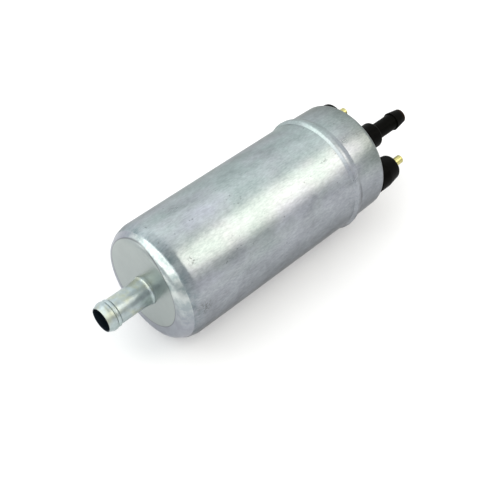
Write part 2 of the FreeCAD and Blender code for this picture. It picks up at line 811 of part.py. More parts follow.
def end_cover():
    """Black moulding: skirt, seal groove, brush arms, bearing hub, plate and fuel passages."""
    neck_bore = rim_radius - can_wall - cover_neck_gap
    chamber_radius = hub_radius - chamber_inset
    arm_front = brush_x - holder_depth / 2 - arm_wall
    arm_rear = brush_x + holder_depth / 2 + arm_wall
    wall_front = cover_seal_x - groove_width
    hub_front = rear_bearing_front - hub_overhang
    pieces = [
        tube(skirt_front, wall_front + can_wall, skirt_bore, stage_radius),
        tube(wall_front, plate_front + can_wall, seal_bore, stage_radius),
        turned([
            (plate_front, 0),
            (plate_front, neck_bore),
            (lip_x, neck_bore),
            (lip_x, lip_radius - cover_neck_gap),
            (cover_face_x, lip_radius - cover_neck_gap),
            (cover_face_x, 0),
        ]),
        tube(hub_front, plate_front + can_wall, 0, hub_radius),
    ]
    for angle in (terminal_angle, terminal_angle + 180):
        pieces.append(block(arm_front, arm_rear, holder_inner_radius + holder_proud,
                            skirt_bore + skirt_wall / 2, holder_breadth + 2 * arm_wall, angle))
    cover = joined(pieces)
    neck_cut = tube(bead_end, lip_x, neck_bore, can_radius)
    chamber_x = plate_front + chamber_wall
    cuts = [
        neck_cut,
        tube(cover_seal_x - groove_width / 2, cover_seal_x + groove_width / 2, groove_floor, can_radius),
        rod(hub_front - can_wall, plate_front, bearing_radius + close_fit),
        rod(chamber_x, chamber_x + chamber_length, chamber_radius),
        rod(chamber_x, cover_face_x + can_wall, nozzle_spigot_radius + close_fit),
    ]
    fuel_circle = (bearing_radius + hub_radius) / 2
    for angle in spread(fuel_holes, terminal_angle + 90):
        cuts.append(rod(hub_front - can_wall, chamber_x + can_wall, fuel_hole_radius, fuel_circle, angle))
    for angle in (terminal_angle, terminal_angle + 180):
        cuts.append(block(brush_x - holder_depth / 2 - close_fit, brush_x + holder_depth / 2 + close_fit,
                          holder_inner_radius, holder_outer_radius + close_fit,
                          holder_breadth + 2 * close_fit, angle))
        cuts.append(rod(plate_front - can_wall, cover_face_x + can_wall, stud_hole_radius,
                        terminal_circle, angle))
        cuts.append(rod(cover_face_x - insulator_spigot_length, cover_face_x + can_wall,
                        insulator_spigot_radius + close_fit, terminal_circle, angle))
        cuts.append(rod(brush_x, arm_rear + stud_gap, choke_lead_radius + stud_gap, terminal_circle, angle))
        cuts.append(rod(arm_rear, plate_front, stud_head_radius + stud_gap, terminal_circle, angle))
    return cover.cut(cuts)


def terminal_stud(angle):
    """Brass stud: head inside the cover, shank in the insulator, and the M4 end with a chamfered tip."""
    stud = turned([
        (plate_front - stud_head_length, 0),
        (plate_front - stud_head_length, stud_head_radius),
        (plate_front, stud_head_radius),
        (plate_front, stud_shank_radius),
        (insulator_end, stud_shank_radius),
        (insulator_end, stud_radius),
        (stud_tip - stud_tip_chamfer, stud_radius),
        (stud_tip, stud_radius - stud_tip_chamfer),
        (stud_tip, 0),
    ])
    return moved_to(stud, terminal_circle, angle)


def terminal_insulator(angle):
    """Black bush round a stud: straight, tapered, broken twice at its end, with a spigot in the cover."""
    straight_x = cover_face_x + insulator_straight
    taper_x = insulator_end - insulator_round
    corner = insulator_round * (1 - cos(pi / 4))
    bush = turned([
        (cover_face_x - insulator_spigot_length, stud_hole_radius),
        (cover_face_x - insulator_spigot_length, insulator_spigot_radius),
        (cover_face_x, insulator_spigot_radius),
        (cover_face_x, insulator_radius),
        (straight_x, insulator_radius),
        (taper_x, insulator_end_radius),
        (insulator_end - corner, insulator_end_radius - corner),
        (insulator_end, insulator_end_radius - insulator_round),
        (insulator_end, stud_hole_radius),
    ])
    return moved_to(bush, terminal_circle, angle)


def outlet_nozzle():
    """Nozzle with a spigot in the cover, a thick body round the check valve, and a barbed tube."""
    body_x = cover_face_x + nozzle_body_length
    barb_x = body_x + nozzle_tube_length
    corner = nozzle_body_round * (1 - cos(pi / 4))
    seal_x = cover_face_x - nozzle_seal_inset
    half_groove = nozzle_seal_width / 2 + close_fit
    return turned([
        (valve_seat_front, valve_bore),
        (valve_seat_front, nozzle_spigot_radius),
        (seal_x - half_groove, nozzle_spigot_radius),
        (seal_x - half_groove, nozzle_spigot_radius - nozzle_seal_width),
        (seal_x + half_groove, nozzle_spigot_radius - nozzle_seal_width),
        (seal_x + half_groove, nozzle_spigot_radius),
        (cover_face_x, nozzle_spigot_radius),
        (cover_face_x, nozzle_spigot_radius + nozzle_flange_height),
        (cover_face_x + nozzle_flange_length, nozzle_spigot_radius + nozzle_flange_height),
        (cover_face_x + 2 * nozzle_flange_length, nozzle_body_radius),
        (body_x - nozzle_body_round, nozzle_body_radius),
        (body_x - corner, nozzle_body_radius - corner),
        (body_x, nozzle_body_radius - nozzle_body_round),
        (body_x + nozzle_body_round / 2, nozzle_tube_radius),
        (barb_x, nozzle_tube_radius),
        (barb_x, nozzle_tube_radius + barb_height),
        (nozzle_tip - barb_tip_chamfer, barb_tip_radius),
        (nozzle_tip, barb_tip_radius - barb_tip_chamfer),
        (nozzle_tip, nozzle_bore),
        (valve_chamber_end, nozzle_bore),
        (valve_chamber_end, valve_bore),
    ])


def nozzle_seal():
    """Seal in the spigot's groove, between the nozzle and the end cover."""
    seal_x = cover_face_x - nozzle_seal_inset
    return tube(seal_x - nozzle_seal_width / 2, seal_x + nozzle_seal_width / 2,
                nozzle_spigot_radius - nozzle_seal_width + close_fit, nozzle_spigot_radius)


def valve_seat():
    """Ring with a cone on its downstream side, pressed into the nozzle."""
    return turned([
        (valve_seat_front, valve_seat_bore),
        (valve_seat_front, valve_bore - close_fit),
        (valve_seat_rear, valve_bore - close_fit),
        (valve_seat_rear, poppet_radius),
        (valve_seat_rear - valve_cone, valve_seat_bore),
    ])


def valve_poppet():
    """Poppet whose cone closes the seat, with a stem inside the spring."""
    gap = valve_gap * sqrt(2)
    nose_x = valve_seat_rear - valve_cone + gap
    shoulder_x = valve_seat_rear + gap
    back_x = valve_seat_rear + poppet_head_length
    return turned([
        (nose_x, 0),
        (nose_x, valve_seat_bore),
        (shoulder_x, poppet_radius),
        (back_x, poppet_radius),
        (back_x, poppet_stem_radius),
        (back_x + poppet_stem_length, poppet_stem_radius),
        (back_x + poppet_stem_length, 0),
    ])


def valve_spring():
    """Check valve's spring, as a sleeve of its outer and inner size."""
    return tube(valve_seat_rear + poppet_head_length, valve_chamber_end,
                valve_spring_radius - valve_spring_wire, valve_spring_radius)


angle_a = terminal_angle
angle_b = terminal_angle + 180
nodes = {
    "housing_can": housing_can(),
    "inlet_fitting": inlet_fitting(),
    "inlet_strainer": inlet_strainer(),
    "intake_plate": intake_plate(),
    "gear_housing": gear_housing(),
    "inner_gear": inner_gear(),
    "outer_gear": outer_gear(),
    "delivery_plate": delivery_plate(),
    "stage_screws": stage_screw_group(),
    "relief_valve": relief_valve(),
    "relief_spring": relief_spring(),
    "relief_plug": relief_plug(),
    "front_bearing": bearing(delivery_hub_x - bearing_length),
    "rear_bearing": bearing(rear_bearing_front),
    "flux_tube": flux_tube(),
    "magnet_upper": magnet(magnet_angle),
    "magnet_lower": magnet(magnet_angle + 180),
    "magnet_clip_left": magnet_clip(magnet_angle - 90),
    "magnet_clip_right": magnet_clip(magnet_angle + 90),
    "armature_shaft": armature_shaft(),
    "armature_core": armature_core(),
    "armature_winding": armature_winding(),
    "commutator_hub": commutator_hub(),
    "commutator_segments": commutator_segments(),
    "thrust_washer": thrust_washer(),
    "brush_holder_a": brush_holder(angle_a),
    "brush_holder_b": brush_holder(angle_b),
    "brush_a": brush(angle_a),
    "brush_b": brush(angle_b),
    "brush_spring_a": brush_spring(angle_a),
    "brush_spring_b": brush_spring(angle_b),
    "brush_lead_a": brush_lead(angle_a),
    "brush_lead_b": brush_lead(angle_b),
    "suppression_choke_a": choke(angle_a),
    "suppression_choke_b": choke(angle_b),
    "end_cover": end_cover(),
    "end_cover_seal": end_cover_seal(),
    "terminal_stud_a": terminal_stud(angle_a),
    "terminal_stud_b": terminal_stud(angle_b),
    "terminal_insulator_a": terminal_insulator(angle_a),
    "terminal_insulator_b": terminal_insulator(angle_b),
    "outlet_nozzle": outlet_nozzle(),
    "nozzle_seal": nozzle_seal(),
    "valve_seat": valve_seat(),
    "valve_poppet": valve_poppet(),
    "valve_spring": valve_spring(),
}

os.makedirs("parts", exist_ok=True)
for name, shape in nodes.items():
    if not shape.isValid():
        print("not valid:", name)
    shape.exportStep("parts/" + name + ".step")
print(len(nodes), "nodes; inlet tip at", round(tip_x, 2), "outlet tip at", round(nozzle_tip, 2))
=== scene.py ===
import json
from math import cos, pi, radians, sin, tan

import bmesh
import bpy
from mathutils import Matrix, Vector


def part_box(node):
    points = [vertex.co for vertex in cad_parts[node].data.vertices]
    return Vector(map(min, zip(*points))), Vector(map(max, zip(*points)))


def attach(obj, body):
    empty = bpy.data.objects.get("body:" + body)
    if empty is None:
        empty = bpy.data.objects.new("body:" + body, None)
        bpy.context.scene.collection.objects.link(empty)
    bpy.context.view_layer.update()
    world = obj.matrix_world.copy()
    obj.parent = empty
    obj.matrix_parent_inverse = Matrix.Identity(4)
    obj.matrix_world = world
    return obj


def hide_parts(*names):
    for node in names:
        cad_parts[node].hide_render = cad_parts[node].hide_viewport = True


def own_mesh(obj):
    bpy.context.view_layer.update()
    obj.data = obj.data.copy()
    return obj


# Dressed view of the inline fuel pump. Sizes are in millimetres and objects in metres, in the CAD's
# frame: X is the pump's axis, fuel flows towards +X, +Z is up, and angles run from +Y towards +Z.

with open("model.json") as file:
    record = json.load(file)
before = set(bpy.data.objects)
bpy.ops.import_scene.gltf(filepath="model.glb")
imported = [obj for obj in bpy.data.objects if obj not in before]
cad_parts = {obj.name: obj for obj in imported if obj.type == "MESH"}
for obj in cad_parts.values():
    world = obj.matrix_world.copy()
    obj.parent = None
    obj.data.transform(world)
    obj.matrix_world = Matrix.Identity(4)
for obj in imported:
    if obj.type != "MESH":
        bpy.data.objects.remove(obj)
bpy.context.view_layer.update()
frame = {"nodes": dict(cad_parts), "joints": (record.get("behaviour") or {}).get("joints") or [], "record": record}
MM = 0.001


# Sizes and places that the frame gives

def ends(node):
    """First and last place of a CAD node along the axis, to the hundredth that the frame's meshes keep."""
    low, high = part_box(node)
    return round(low.x / MM, 2), round(high.x / MM, 2)


mounts = {mount["name"]: mount["dims"] for mount in frame["record"]["mounts"]}
joints = {joint["name"]: joint for joint in frame["joints"]}
can_radius = mounts["can_clamp"]["r_mm"]
stud_circle_radius = mounts["terminal_studs"]["pcd_mm"] / 2
stub_radius = mounts["inlet_hose"]["r_mm"]
tube_radius = mounts["outlet_hose"]["r_mm"]
face, rim = ends("housing_can")
stub_tip, flange_end = ends("inlet_fitting")
cover_end = ends("end_cover")[1]
insulator_root, insulator_tip = ends("terminal_insulator_a")
nozzle_root, nozzle_tip = ends("outlet_nozzle")
valve_spring_free, valve_spring_fixed = ends("valve_spring")

# Values that several pieces share

sheet = 1.5              # thickness of the can
close_fit = 0.02         # gap between the can and the stub, and on each side of the nozzle's seal
first_terminal = 13.0    # degrees; the second is opposite
sharp_edge = 38.0        # degrees from which an edge isn't shaded smooth
black = (0.001, 0.001, 0.0006)


# Camera at the photograph's angle

def make_camera():
    data = bpy.data.cameras.new("camera")
    data.lens = 67.5
    data.sensor_width = 36.0
    data.clip_start = 0.01
    data.clip_end = 50.0
    camera = bpy.data.objects.new("camera", data)
    place = Matrix.Translation((-0.19258, -0.20432, 0.27794))
    forward = Vector((0.4832, 0.4959, -0.7216)).normalized()
    roll = Matrix.Rotation(radians(0.2), 3, forward)
    right = roll @ forward.cross(Vector((0, 0, 1))).normalized()
    up = right.cross(forward)
    camera.matrix_world = place @ Matrix((right, up, -forward)).transposed().to_4x4()
    bpy.context.scene.collection.objects.link(camera)
    bpy.context.scene.camera = camera


# Shader helpers

class Finish:
    """One procedural material, in coordinates of the object, which are metres in the CAD's frame."""

    def __init__(self, name):
        self.material = bpy.data.materials.new(name)
        self.material.use_nodes = True
        self.tree = self.material.node_tree
        self.tree.nodes.clear()
        self.shader = self.node("ShaderNodeBsdfPrincipled")
        output = self.node("ShaderNodeOutputMaterial")
        self.link(self.shader.outputs[0], output.inputs["Surface"])
        self.place = self.node("ShaderNodeTexCoord").outputs["Object"]

    def node(self, kind, **settings):
        made = self.tree.nodes.new(kind)
        for key, value in settings.items():
            setattr(made, key, value)
        return made

    def link(self, source, target):
        self.tree.links.new(source, target)

    def give(self, socket, value):
        """Links a socket to another, or sets its value."""
        if isinstance(value, bpy.types.NodeSocket):
            self.link(value, socket)
        else:
            socket.default_value = value

    def noise(self, scale, detail=3.0, rough=0.55):
        """Noise whose grain is 1/scale metres, in all directions or in each of three."""
        mapping = self.node("ShaderNodeMapping")
        mapping.inputs["Scale"].default_value = scale if isinstance(scale, tuple) else (scale,) * 3
        self.link(self.place, mapping.inputs["Vector"])
        made = self.node("ShaderNodeTexNoise")
        made.inputs["Scale"].default_value = 1.0
        made.inputs["Detail"].default_value = detail
        made.inputs["Roughness"].default_value = rough
        self.link(mapping.outputs[0], made.inputs["Vector"])
        return made.outputs["Fac"]

    def ramp(self, value, *stops):
        """Colour ramp through stops of (position, grey or colour)."""
        made = self.node("ShaderNodeValToRGB")
        set_stops(made, stops)
        self.link(value, made.inputs[0])
        return made.outputs["Color"]

    def mix(self, factor, first, second, blend="MIX"):
        made = self.node("ShaderNodeMix", data_type="RGBA", blend_type=blend)
        self.give(made.inputs["Factor"], factor)
        for socket, colour in ((made.inputs[6], first), (made.inputs[7], second)):
            self.give(socket, colour if isinstance(colour, bpy.types.NodeSocket) else tone(colour))
        return made.outputs[2]

    def darken(self, base, amount, pattern, low, dark, high):
        """Multiplies a colour with a pattern that goes from a dark tone at low to white at high."""
        return self.mix(amount, base, self.ramp(pattern, (low, dark), (high, 1.0)), "MULTIPLY")

    def maths(self, operation, first, second=0.0):
        made = self.node("ShaderNodeMath", operation=operation)
        self.give(made.inputs[0], first)
        self.give(made.inputs[1], second)
        return made.outputs[0]

    def between(self, value, low, high, start=0.0, end=1.0):
        """Value mapped from low..high to start..end, and held there."""
        made = self.node("ShaderNodeMapRange")
        self.give(made.inputs["Value"], value)
        for key, number in (("From Min", low), ("From Max", high), ("To Min", start), ("To Max", end)):
            made.inputs[key].default_value = number
        return made.outputs[0]

    def zone(self, axis, start, end, amount=1.0):
        """Nothing before one place along an axis, and the amount from another place on."""
        split = self.node("ShaderNodeSeparateXYZ")
        self.link(self.place, split.inputs[0])
        return self.between(split.outputs[axis], start * MM, end * MM, 0.0, amount)

    def distance(self, point, scale):
        """Distance in millimetres from a point, stretched by three numbers."""
        offset = self.node("ShaderNodeVectorMath", operation="SUBTRACT")
        self.link(self.place, offset.inputs[0])
        offset.inputs[1].default_value = [c * MM for c in point]
        sized = self.node("ShaderNodeVectorMath", operation="MULTIPLY")
        self.link(offset.outputs[0], sized.inputs[0])
        sized.inputs[1].default_value = [s / MM for s in scale]
        length = self.node("ShaderNodeVectorMath", operation="LENGTH")
        self.link(sized.outputs[0], length.inputs[0])
        return length.outputs["Value"]

    def gloss(self, pattern, smooth, rough):
        """Roughness that follows a noise, most of which lies between 0.3 and 0.7."""
        self.set(Roughness=self.between(pattern, 0.3, 0.7, smooth, rough))

    def bump(self, height, depth, strength):
        """Adds a bump of so many millimetres to the surface."""
        made = self.node("ShaderNodeBump")
        made.inputs["Strength"].default_value = strength
        made.inputs["Distance"].default_value = depth * MM
        self.link(height, made.inputs["Height"])
        socket = self.shader.inputs["Normal"]
        if socket.is_linked:
            self.link(socket.links[0].from_socket, made.inputs["Normal"])
        self.link(made.outputs[0], socket)

    def set(self, **values):
        for key, value in values.items():
            self.give(self.shader.inputs[key.replace("_", " ")], value)


def tone(colour):
    """Grey number or three numbers as a colour."""
    return (colour, colour, colour, 1) if isinstance(colour, (int, float)) else (*colour, 1)


def set_stops(node, stops):
    """Gives a colour ramp its stops of (position, grey or colour)."""
    elements = node.color_ramp.elements
    while len(elements) < len(stops):
        elements.new(0.5)
    for element, (position, colour) in zip(elements, stops):
        element.position = position
        element.color = tone(colour)


# Finishes

# Scuffed spots on the can: place, how it is squeezed along each axis, and size
WEAR_MARKS = (
    ((-43.9, 5.7, 25.4), (1, 1, 1), 1.1),
    ((-39.4, -15.9, 20.6), (0.7, 1, 1), 2.2),
    ((-42.5, -25.8, 4.0), (0.6, 1, 0.7), 2.6),
    ((58.1, -25.6, 4.6), (1, 1, 0.8), 1.4),
    ((36.5, -13.5, 22.2), (0.35, 1, 1), 1.0),
    ((41.5, -21.5, 14.7), (1, 1, 1), 0.8),
    ((-27.3, -21.5, 14.6), (0.4, 1, 1), 0.9),
)


def can_finish():
    """Drawn and plated sheet: cloudy patches, faint axial streaks, fine scratches, pits and wear marks."""
    finish = Finish("can_wall")
    streaks = finish.noise((22, 700, 700), 4, 0.6)
    clouds = finish.noise((85, 120, 120), 5, 0.6)
    tints = finish.noise((34, 60, 60), 3)
    fine = finish.noise((520, 620, 620), 3, 0.6)
    grain = finish.noise((520, 1800, 1800), 2, 0.6)
    blotches = finish.noise((240, 300, 300), 4, 0.6)
    base = finish.ramp(tints, (0.36, (0.44, 0.515, 0.505)), (0.5, (0.475, 0.52, 0.53)),
                       (0.64, (0.48, 0.505, 0.55)))
    # The zones below paint light and shade into the sheet's colour. Shoulder: a darker teal tone on the taper, a
    # painted dark reflection.
    shoulder = finish.zone("X", -42.0, -47.0, 0.8)
    # Neck: darker towards the rim, painted shade that dims its highlight.
    neck = finish.zone("X", 49.0, 64.5, 0.9)
    # Height: below 13.5 mm the wall is painted darker lavender, painted shade on the lower side; below -13 mm a
    # lighter lavender is painted back, painted light on the underside.
    painted_side_shade = finish.zone("Z", 13.5, 6.0, 0.9)
    painted_underside_light = finish.zone("Z", -7.0, -13.0, 0.9)
    for zone, colour in ((shoulder, (0.41, 0.47, 0.485)), (neck, (0.29, 0.325, 0.305)),
                         (painted_side_shade, (0.36, 0.38, 0.415)), (painted_underside_light, (0.47, 0.49, 0.52))):
        base = finish.mix(zone, base, colour)
    for amount, pattern, low, dark, high in ((0.3, streaks, 0.3, 0.8, 0.7), (0.8, clouds, 0.34, 0.73, 0.64),
                                             (0.5, fine, 0.3, 0.86, 0.65), (0.5, grain, 0.36, 0.66, 0.64),
                                             (shoulder, blotches, 0.38, (0.62, 0.71, 0.72), 0.58)):
        base = finish.darken(base, amount, pattern, low, dark, high)
    base = finish.mix(pits(finish), base, (0.14, 0.15, 0.15))
    rubbed = finish.between(finish.noise((1000, 1300, 1300), 3, 0.6), 0.5, 0.6)
    for point, stretch, size in WEAR_MARKS:
        near = finish.between(finish.distance(point, stretch), size * 0.3, size, 0.8, 0.0)
        base = finish.mix(finish.maths("MULTIPLY", near, rubbed), base, (0.11, 0.12, 0.12))
    finish.set(Base_Color=base, Metallic=1.0, Anisotropic=0.2, Specular_Tint=tone(0.55))
    finish.gloss(clouds, 0.27, 0.38)
    tangent = finish.node("ShaderNodeTangent", direction_type="RADIAL", axis="X")
    finish.link(tangent.outputs[0], finish.shader.inputs["Tangent"])
    finish.bump(clouds, 0.5, 0.4)
    finish.bump(fine, 0.012, 0.5)
    finish.bump(streaks, 0.004, 0.4)
    return finish.material


def pits(finish):
    """How dark the pits are: dots in groups."""
    dots = finish.node("ShaderNodeTexVoronoi")
    dots.inputs["Scale"].default_value = 420.0
    finish.link(finish.place, dots.inputs["Vector"])
    groups = finish.between(finish.noise(75, 3), 0.53, 0.6)
    dark = finish.maths("MULTIPLY", finish.between(dots.outputs["Distance"], 0.08, 0.2, 1.0, 0.0), groups)
    return finish.maths("MULTIPLY", dark, 0.6)


def face_finish():
    """Pressed end face, even inside an eccentric dark line; patchy outside, with painted highlight and shade."""
    line_radius, line_width = 20.0, 0.08
    finish = Finish("can_face")
    fine = finish.noise(400, 4)
    clouds = finish.noise(60, 3)
    patches = finish.noise(230, 5, 0.65)
    across = finish.distance((0.0, 1.1, 2.8), (0, 1.04, 0.97))
    inner = finish.ramp(clouds, (0.3, (0.335, 0.368, 0.36)), (0.7, (0.375, 0.412, 0.40)))
    # Outside the line, low is painted shade and high a painted highlight: high above, low below and towards +Y.
    low = finish.ramp(patches, (0.35, (0.27, 0.285, 0.325)), (0.65, (0.33, 0.35, 0.39)))
    high = finish.ramp(patches, (0.38, (0.32, 0.38, 0.38)), (0.6, (0.57, 0.61, 0.59)))
    outer = finish.mix(finish.zone("Z", -4.0, 14.0), low, high)
    outer = finish.mix(finish.zone("Y", 6.0, 13.0), outer, low)
    base = finish.mix(finish.between(across, line_radius - 0.1, line_radius + 0.1), inner, outer)
    from_line = finish.maths("ABSOLUTE", finish.maths("SUBTRACT", across, line_radius))
    line = finish.between(from_line, line_width, 4 * line_width, 0.6, 0.0)
    base = finish.mix(line, base, (0.1, 0.1, 0.11))
    base = finish.darken(base, 0.3, fine, 0.3, 0.85, 0.7)
    finish.set(Base_Color=base, Metallic=1.0)
    finish.gloss(clouds, 0.28, 0.33)
    finish.bump(fine, 0.004, 0.4)
    return finish.material


def stub_finish():
    """Turned and plated steel: smooth, with faint rings and yellowish tints."""
    finish = Finish("stub_steel")
    rings = finish.noise((700, 30, 30), 2, 0.5)
    clouds = finish.noise(140, 3)
    patches = finish.noise(420, 4, 0.6)
    base = finish.ramp(clouds, (0.35, (0.39, 0.475, 0.46)), (0.5, (0.45, 0.52, 0.53)),
                       (0.65, (0.50, 0.54, 0.44)))
    base = finish.darken(base, 0.6, patches, 0.35, 0.7, 0.65)
    base = finish.darken(base, 0.2, rings, 0.3, 0.8, 0.7)
    finish.set(Base_Color=base, Metallic=1.0)
    finish.gloss(clouds, 0.3, 0.42)
    finish.bump(clouds, 0.02, 0.3)
    finish.bump(patches, 0.02, 0.5)
    return finish.material


def bore_finish():
    """Inside of the stub, painted near black as shade in the bore."""
    finish = Finish("stub_bore")
    mottle = finish.noise((200, 90, 90), 4, 0.6)
    # Near-black tones: painted shade in the bore.
    base = finish.ramp(mottle, (0.35, (0.005, 0.012, 0.018)), (0.65, (0.01, 0.02, 0.03)))
    finish.set(Base_Color=base, Metallic=0.6)
    finish.gloss(mottle, 0.35, 0.5)
    finish.bump(mottle, 0.01, 0.4)
    return finish.material


def plastic_finish(name, tip=black):
    """Satin black moulding: fine grain, paler scuffs, and the tip tone at the nozzle's very tip."""
    finish = Finish(name)
    grain = finish.noise(2200, 3, 0.6)
    scuffs = finish.noise((160, 500, 500), 4, 0.6)
    base = finish.ramp(scuffs, (0.45, black), (0.75, (0.003, 0.0028, 0.002)))
    # A tip tone other than black is a painted brownish glow at the nozzle's very tip.
    base = finish.mix(finish.zone("X", nozzle_tip - 1.9, nozzle_tip - 0.6), base, tip)
    finish.set(Base_Color=base, Specular_IOR_Level=0.03)
    finish.gloss(scuffs, 0.4, 0.55)
    finish.bump(grain, 0.01, 0.35)
    return finish.material


def brass_finish():
    """Turned brass: fine rings and a slightly dulled tone in patches."""
    finish = Finish("stud_brass")
    rings = finish.noise((3800, 60, 60), 2, 0.6)
    clouds = finish.noise(300, 3)
    base = finish.ramp(clouds, (0.3, (0.42, 0.37, 0.13)), (0.7, (0.62, 0.58, 0.25)))
    base = finish.darken(base, 0.5, rings, 0.3, 0.75, 0.7)
    finish.set(Base_Color=base, Metallic=1.0)
    finish.gloss(rings, 0.22, 0.36)
    finish.bump(rings, 0.008, 0.4)
    return finish.material


def inner_finish(name, light, dark, metallic, smooth, rough, grain=900, depth=0.01):
    """Finish of a piece inside: two tones in soft patches, and a fine grain in tone, gloss and bump."""
    finish = Finish(name)
    patches = finish.noise(110, 4)
    fine = finish.noise(grain, 4, 0.6)
    base = finish.darken(finish.ramp(patches, (0.35, dark), (0.65, light)), 0.6, fine, 0.3, 0.82, 0.7)
    finish.set(Base_Color=base, Metallic=metallic)
    finish.gloss(fine, smooth, rough)
    finish.bump(fine, depth, 0.5)
    return finish.material


can_wall = can_finish()
can_face = face_finish()
stub_steel = stub_finish()
black_plastic = plastic_finish("black_plastic")
# The nozzle's tip tone is a painted brownish glow, not the plastic's colour.
nozzle_plastic = plastic_finish("nozzle_plastic", (0.022, 0.009, 0.003))

# Slot, light tone, dark tone, metallic, lowest and highest roughness. Copper is mostly the winding, whose
# wires lie along the axis, so it has a grain and a depth of its own.
inner_looks = (
    ("strainer", (0.05, 0.05, 0.05), (0.03, 0.03, 0.03), 0.0, 0.4, 0.6),
    ("plate_iron", (0.36, 0.36, 0.37), (0.27, 0.27, 0.28), 1.0, 0.3, 0.5),
    ("gear_steel", (0.5, 0.5, 0.51), (0.4, 0.4, 0.41), 1.0, 0.25, 0.45),
    ("steel", (0.65, 0.65, 0.66), (0.55, 0.55, 0.56), 1.0, 0.15, 0.3),
    ("spring_steel", (0.55, 0.55, 0.56), (0.42, 0.42, 0.43), 1.0, 0.25, 0.4),
    ("seal_rubber", (0.03, 0.03, 0.032), (0.018, 0.018, 0.019), 0.0, 0.5, 0.7),
    ("bronze", (0.6, 0.42, 0.22), (0.48, 0.33, 0.17), 1.0, 0.35, 0.5),
    ("flux_steel", (0.46, 0.47, 0.48), (0.36, 0.36, 0.37), 1.0, 0.3, 0.45),
    ("magnet", (0.1, 0.1, 0.105), (0.06, 0.06, 0.063), 0.0, 0.5, 0.7),
    ("moulding", (0.16, 0.1, 0.06), (0.1, 0.065, 0.04), 0.0, 0.4, 0.55),
    ("carbon", (0.06, 0.06, 0.062), (0.035, 0.035, 0.036), 0.0, 0.4, 0.6),
    ("valve_brass", (0.7, 0.56, 0.28), (0.56, 0.43, 0.2), 1.0, 0.2, 0.35),
    ("copper", (0.75, 0.4, 0.24), (0.6, 0.3, 0.17), 1.0, 0.25, 0.4, (300, 2400, 2400), 0.05),
)

slot_finishes = {slot: inner_finish(slot, *look) for slot, *look in inner_looks}
slot_finishes["can"] = can_wall
slot_finishes["stub"] = stub_steel
slot_finishes["black_plastic"] = black_plastic
slot_finishes["stud_brass"] = brass_finish()
for cad_object in frame["nodes"].values():
    for holder in cad_object.material_slots:
        holder.material = slot_finishes[holder.material.name.split(".")[0]]


# Piece builders

def rounded(corners, steps=5):
    """Profile of (x, r, fillet, finish) corners with each fillet as an arc, as (x, r, finish) points."""
    points = []
    for i, (x, r, fillet, finish) in enumerate(corners):
        if fillet == 0:
            points.append((x, r, finish))
            continue
        here = Vector((x, r))
        a = (Vector(corners[i - 1][:2]) - here).normalized()
        b = (Vector(corners[(i + 1) % len(corners)][:2]) - here).normalized()
        half = a.angle(b) / 2
        middle = here + (a + b).normalized() * (fillet / sin(half))
        start = here + a * (fillet / tan(half)) - middle
        end = here + b * (fillet / tan(half)) - middle
        span = start.angle(end)
        for step in range(steps + 1):
            t = step / steps
            arm = (start * sin((1 - t) * span) + end * sin(t * span)) / sin(span)
            points.append((middle.x + arm.x, middle.y + arm.y, finish))
    return points


def finished(name, shape, node, finishes):
    """Piece made from a filled bmesh, in place of a CAD node."""
    bmesh.ops.recalc_face_normals(shape, faces=shape.faces)
    mesh = bpy.data.meshes.new(name)
    shape.to_mesh(mesh)
    shape.free()
    mesh.set_sharp_from_angle(angle=radians(sharp_edge))
    for finish in finishes:
        mesh.materials.append(finish)
    piece = bpy.data.objects.new(name, mesh)
    bpy.context.scene.collection.objects.link(piece)
    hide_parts(node)
    return piece


def lathe(name, points, node, finishes, segments, centre=(0.0, 0.0), proud=None):
    """Closed ring of (x, r, finish) points turned about a line along X, on the housing.

    proud gives what is added to a radius at an angle, from the angle, the radius and the finish."""
    shape = bmesh.new()
    rings = []
    for step in range(segments):
        angle = 2 * pi * step / segments
        ring = []
        for x, r, finish in points:
            reach = r + (proud(angle, r, finish) if proud else 0.0)
            y, z = centre[0] + reach * cos(angle), centre[1] + reach * sin(angle)
            ring.append(shape.verts.new((x * MM, y * MM, z * MM)))
        rings.append(ring)
    for one, two in zip(rings, rings[1:] + rings[:1]):
        for j, point in enumerate(points):
            k = (j + 1) % len(points)
            side = shape.faces.new((one[j], one[k], two[k], two[j]))
            side.smooth = True
            side.material_index = point[2]
    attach(finished(name, shape, node, finishes), "housing")


def coil(name, node, slot, fixed, free, outer, wire, turns):
    """Wound wire from its fixed end on the housing to its free end."""
    fixed, free = Vector(fixed), Vector(free)
    steps, sides = 20, 12
    along = (free - fixed).normalized()
    side = along.orthogonal().normalized()
    other = along.cross(side)
    length = (free - fixed).length - wire
    reach = outer - wire / 2
    shape = bmesh.new()
    rings = []
    for step in range(steps * turns + 1):
        angle = 2 * pi * step / steps
        spoke = side * cos(angle) + other * sin(angle)
        forward = (other * cos(angle) - side * sin(angle)) * reach * 2 * pi * turns + along * length
        across = forward.normalized().cross(spoke)
        middle = fixed + along * (wire / 2 + length * step / (steps * turns)) + spoke * reach
        ring = []
        for corner in range(sides):
            turn = 2 * pi * corner / sides
            arm = (spoke * cos(turn) + across * sin(turn)) * wire / 2
            ring.append(shape.verts.new((middle + arm) * MM))
        rings.append(ring)
    for one, two in zip(rings, rings[1:]):
        for i in range(sides):
            shape.faces.new((one[i - 1], one[i], two[i], two[i - 1])).smooth = True
    shape.faces.new(rings[0])
    shape.faces.new(rings[-1])
    piece = finished(name, shape, node, [slot_finishes[slot]])
    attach(piece, "housing")
    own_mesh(piece)


# Pieces in place of CAD nodes. OUTSIDE is a piece's first finish, and END_FACE or BORE its second.
OUTSIDE, END_FACE, BORE = 0, 1, 1


